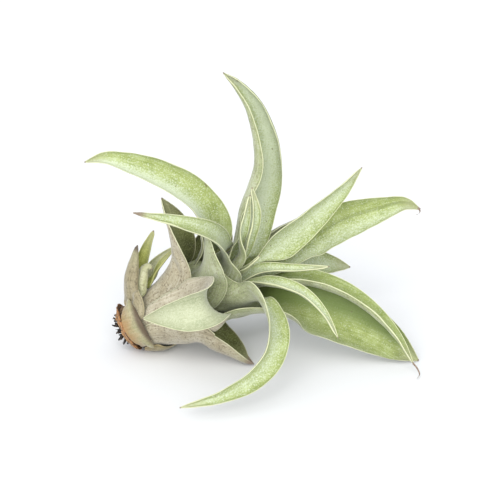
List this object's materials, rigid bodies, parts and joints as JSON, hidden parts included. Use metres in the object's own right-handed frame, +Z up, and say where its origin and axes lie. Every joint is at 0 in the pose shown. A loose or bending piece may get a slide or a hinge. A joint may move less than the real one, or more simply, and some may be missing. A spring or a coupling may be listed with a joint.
{
  "type": "air plant",
  "caption": "Air plant (Tillandsia capitata) lying on its side: a rosette of thick, channelled, silvery green leaves on a short stem with a dried root end.",
  "frame": {"origin": "on the surface that the plant lies on, under the middle of its box", "axes": "+X from the root end to the heart of the rosette, +Y away from the side that the plant shows, +Z up"},
  "size_m": [0.1674, 0.1374, 0.1451],
  "materials": {
    "leaf_green": "living leaf, matt, with a silvery bloom of scales",
    "leaf_old": "older leaf and sheath, matt, grey-green and speckled",
    "stem_bark": "rough dry bark",
    "dry_paper": "dry, papery, cracked",
    "root_bark": "rough, dark, fibrous"
  },
  "bodies": {
    "root": {"stem": "stem_bark", "dry_collar": "dry_paper", "roots": "root_bark", "scale_under": "leaf_old", "scale_side": "leaf_old", "leaf_low_front": "leaf_old", "leaf_back_prop": "leaf_old", "leaf_folded_back": "leaf_old", "pup_bract": "leaf_old", "pup_spear": "leaf_green", "pup_leaf_upper": "leaf_green", "pup_rolled": "leaf_green", "pup_leaf_lower": "leaf_green", "leaf_short_upright": "leaf_old", "leaf_back_high": "leaf_old", "leaf_back_low": "leaf_green", "leaf_broad_low_right": "leaf_green", "leaf_inner_top": "leaf_green", "leaf_long_left": "leaf_green", "leaf_front_hook": "leaf_green", "leaf_short_right": "leaf_green", "leaf_slim_left": "leaf_green", "leaf_back_right": "leaf_green", "leaf_low_right": "leaf_green", "leaf_broad_right": "leaf_green", "leaf_tall": "leaf_green", "leaf_spear_up_right": "leaf_green", "leaf_slim_right": "leaf_green", "leaf_small_right": "leaf_green", "leaf_lance_left": "leaf_green", "leaf_lance_right": "leaf_green", "leaf_bud": "leaf_green"}
  },
  "joints": []
}
